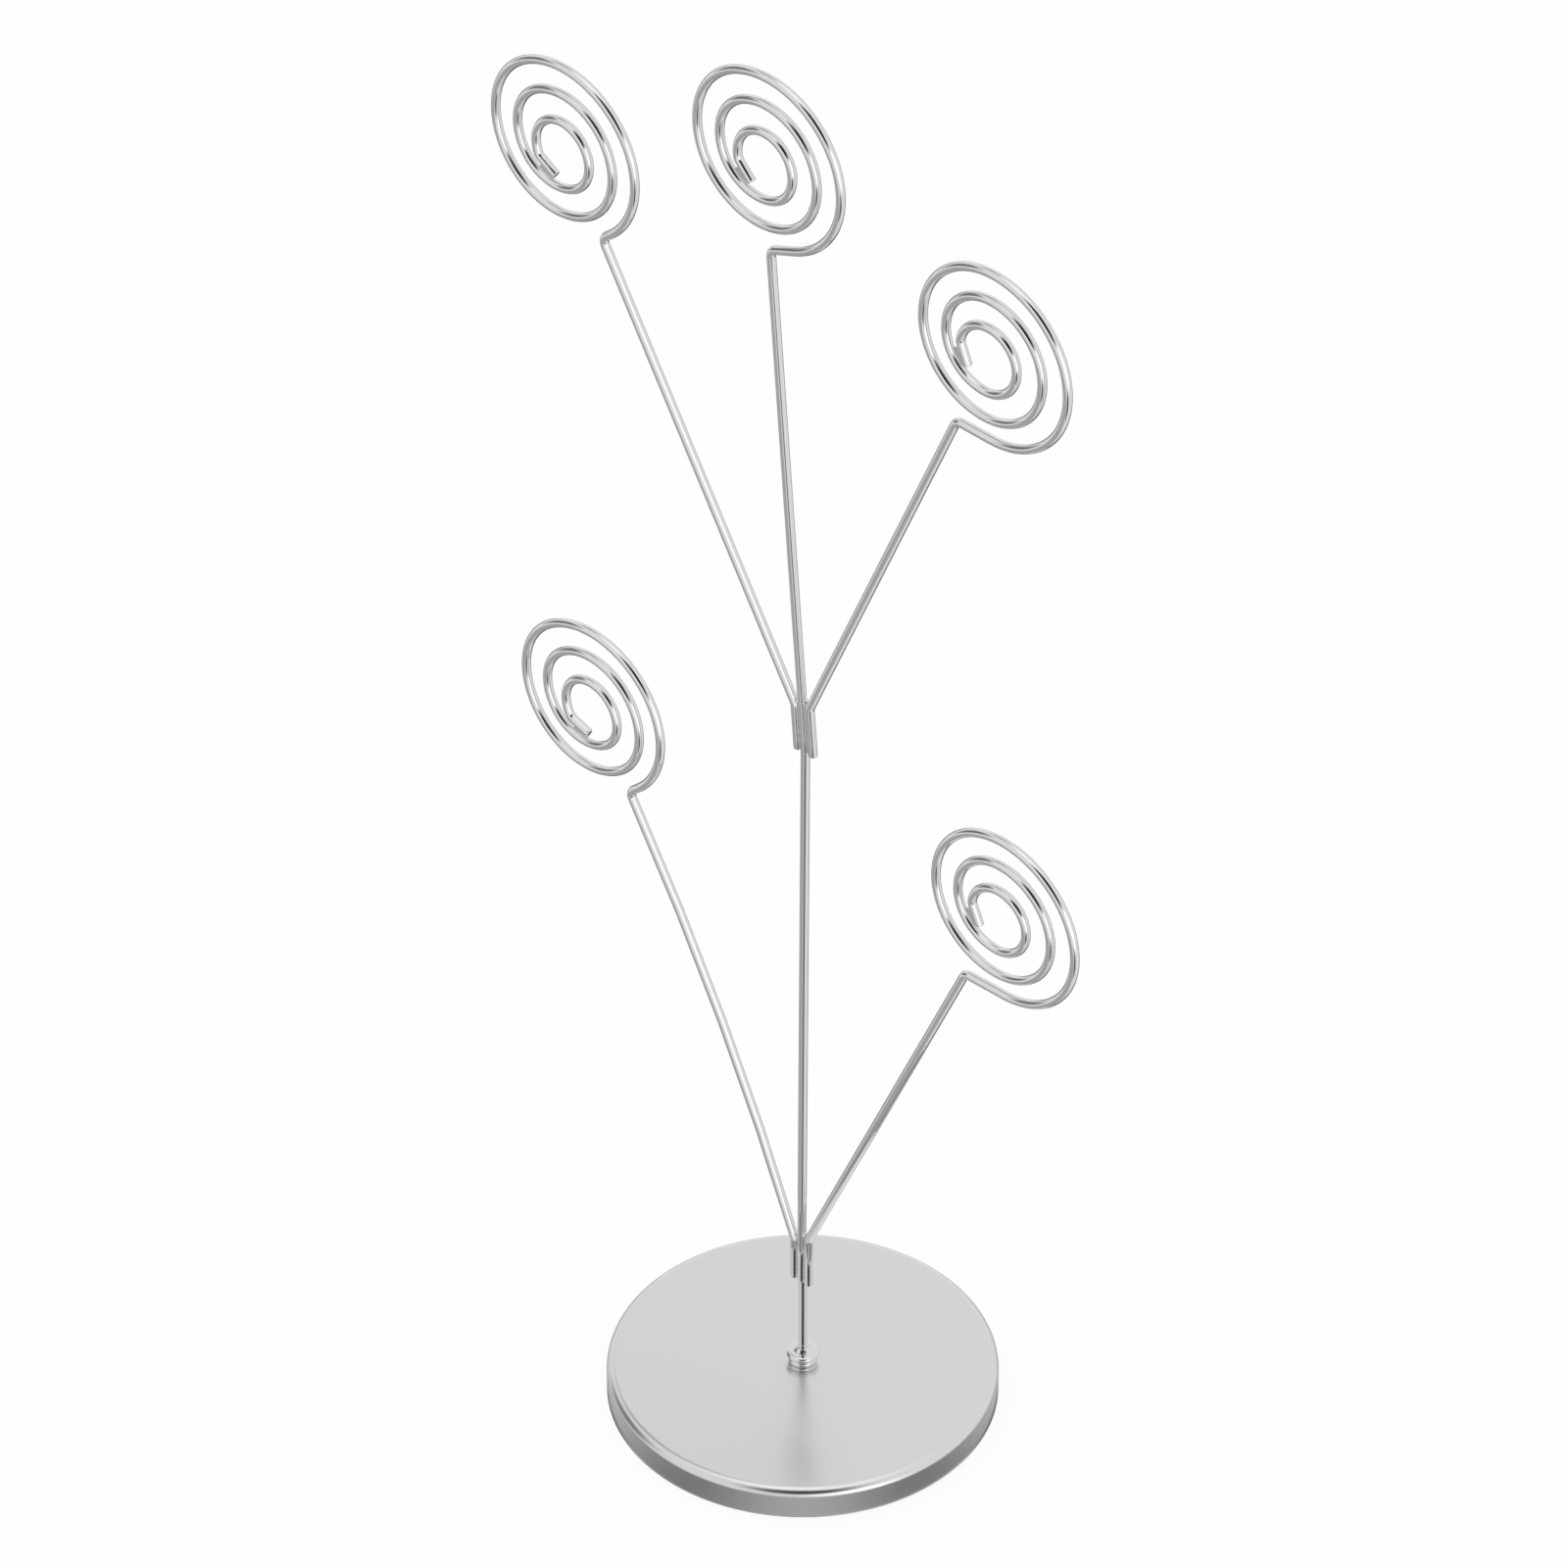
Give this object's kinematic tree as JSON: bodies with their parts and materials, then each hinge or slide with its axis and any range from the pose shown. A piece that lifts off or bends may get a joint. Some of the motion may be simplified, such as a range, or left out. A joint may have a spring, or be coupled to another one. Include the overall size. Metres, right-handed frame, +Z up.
{
  "type": "photo tree stand",
  "caption": "Desk stand with a round weighted base and a branching wire tree whose flat spiral clips hold photographs.",
  "frame": {"origin": "middle of the round base, on the table, under the collar's axis", "axes": "+Z up along the lower stem, +X to the right in the plane of the spirals, -Y the front that the spirals face"},
  "size_m": [0.1511, 0.08, 0.3223],
  "materials": {
    "bright_wire": "bright nickel or chrome plated steel wire",
    "satin_plate": "plated steel with a soft satin polish",
    "braze": "plated braze filler, uneven",
    "raw_steel": "turned mild steel",
    "zinc": "zinc plated",
    "foam": "soft closed-cell pad"
  },
  "bodies": {
    "base": {"base_cover": "satin_plate", "base_weight": "raw_steel", "base_pad": "foam", "flat_washer": "zinc", "spring_washer": "zinc"},
    "tree": {"fixing_screw": "zinc", "stem_collar": "satin_plate", "foot_braze": "braze", "lower_stem": "bright_wire", "lower_fork_braze": "braze", "upper_stem": "bright_wire", "upper_fork_braze": "braze", "lower_left_clip": "bright_wire", "lower_right_clip": "bright_wire", "upper_left_clip": "bright_wire", "upper_middle_clip": "bright_wire", "upper_right_clip": "bright_wire", "lower_left_tip_braze": "braze", "lower_right_tip_braze": "braze", "upper_left_tip_braze": "braze", "upper_middle_tip_braze": "braze", "upper_right_tip_braze": "braze"}
  },
  "joints": [
    {"name": "tree_turn", "type": "hinge", "parent": "base", "child": "tree", "pos_m": [0, 0, 0], "axis": [0, 0, 1], "continuous": true}
  ]
}
